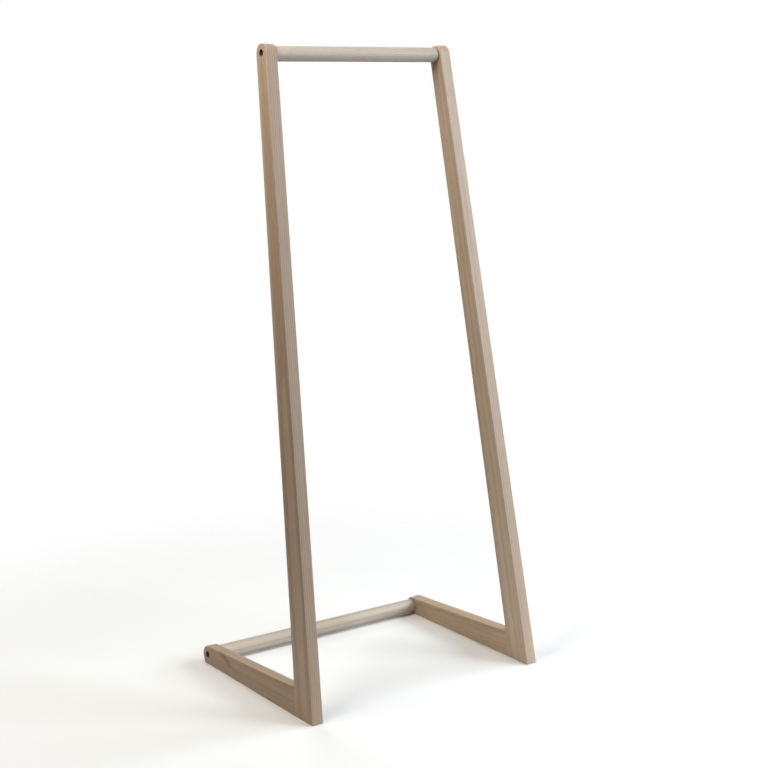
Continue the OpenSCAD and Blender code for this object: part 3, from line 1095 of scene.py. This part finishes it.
def add_floor(finish):
    """Round floor just under the feet: circles about the middle, joined ring by ring."""
    round_about = np.arange(FLOOR_POINTS) * TURN / FLOOR_POINTS
    reach = np.array(FLOOR_RINGS)[:, None]
    level = np.full((len(reach), FLOOR_POINTS), CAD_BOX[0].z - FLOOR_DROP)
    rings = np.stack([reach * np.cos(round_about), reach * np.sin(round_about), level], axis=-1)
    index = np.arange(level.size).reshape(level.shape)
    quads = np.stack([index[:-1], index[1:], np.roll(index[1:], -1, 1),
                      np.roll(index[:-1], -1, 1)], axis=-1).reshape(-1, 4)
    mesh = bpy.data.meshes.new("studio_floor")
    mesh.from_pydata(rings.reshape(-1, 3).tolist(), [], quads.tolist() + [index[0].tolist()])
    mesh.materials.append(finish)
    floor = bpy.data.objects.new("studio_floor", mesh)
    bpy.context.scene.collection.objects.link(floor)


def room_world(strength):
    """World that looks white to the camera and lights the room with a given strength."""
    world = bpy.data.worlds.new("pale room")
    world.use_nodes = True
    world.node_tree.nodes.clear()
    web = Web(world.node_tree)
    white = (1.0, 1.0, 1.0, 1.0)
    walls = web.add("ShaderNodeBackground", {0: white, 1: strength}).outputs[0]
    seen = web.add("ShaderNodeBackground", {0: white, 1: 1.0}).outputs[0]
    straight = web.add("ShaderNodeLightPath").outputs["Is Camera Ray"]
    both = web.add("ShaderNodeMixShader", {0: straight, 1: walls, 2: seen}).outputs[0]
    web.add("ShaderNodeOutputWorld", {0: both})
    return world


class VALETSTAND_OT_studio(bpy.types.Operator):
    """Make the floor, the room, the lights and the camera"""
    bl_idname = "valet_stand.studio"
    bl_label = "Add Studio"

    def execute(self, context):
        scene, studio = context.scene, context.scene.valet_stand_studio
        add_floor(floor_finish(scene.valet_stand_finishes.floor))
        scene.world = room_world(studio.room)
        for name in SOFTBOXES:
            softbox(name, getattr(studio, name))

        data = bpy.data.cameras.new("camera")
        data.sensor_width, data.lens, data.clip_end = 36.0, studio.lens, 50.0
        camera = bpy.data.objects.new("camera", data)
        turn = camera_frame(studio.heading, studio.pitch, studio.roll)
        camera.rotation_euler = turn.to_euler()
        camera.location = studio.eye
        scene.collection.objects.link(camera)
        scene.camera = camera
        scene.view_settings.view_transform = "Standard"
        return {"FINISHED"}


STEPS = (VALETSTAND_OT_uprights, VALETSTAND_OT_foot_rails, VALETSTAND_OT_bars,
         VALETSTAND_OT_bolts, VALETSTAND_OT_washers, VALETSTAND_OT_inserts,
         VALETSTAND_OT_dowels, VALETSTAND_OT_studio)


class VALETSTAND_PT_panel(bpy.types.Panel):
    """Sizes, colours and steps of the valet stand"""
    bl_idname = "VALETSTAND_PT_panel"
    bl_label = "Valet Stand"
    bl_space_type = "VIEW_3D"
    bl_region_type = "UI"
    bl_category = "Valet Stand"

    def draw(self, context):
        for step in STEPS:
            self.layout.operator(step.bl_idname)
        for values in (context.scene.valet_stand_sizes, context.scene.valet_stand_finishes,
                       context.scene.valet_stand_studio):
            box = self.layout.box()
            box.label(text=type(values).__doc__)
            for key in values.__annotations__:
                box.prop(values, key)


GROUPS = {"valet_stand_sizes": ValetStandSizes, "valet_stand_finishes": ValetStandFinishes,
          "valet_stand_studio": ValetStandStudio}
CLASSES = (*GROUPS.values(), *STEPS, VALETSTAND_PT_panel)


def register():
    """Registers the classes and hangs the property groups on the scene."""
    for cls in CLASSES:
        bpy.utils.register_class(cls)
    for key, group in GROUPS.items():
        setattr(bpy.types.Scene, key, PointerProperty(type=group))


def unregister():
    """Takes the property groups and the classes away again."""
    for key in GROUPS:
        delattr(bpy.types.Scene, key)
    for cls in reversed(CLASSES):
        bpy.utils.unregister_class(cls)


def main():
    register()
    for step in STEPS:
        group, call = step.bl_idname.split(".")
        getattr(getattr(bpy.ops, group), call)()


if __name__ == "__main__":
    main()
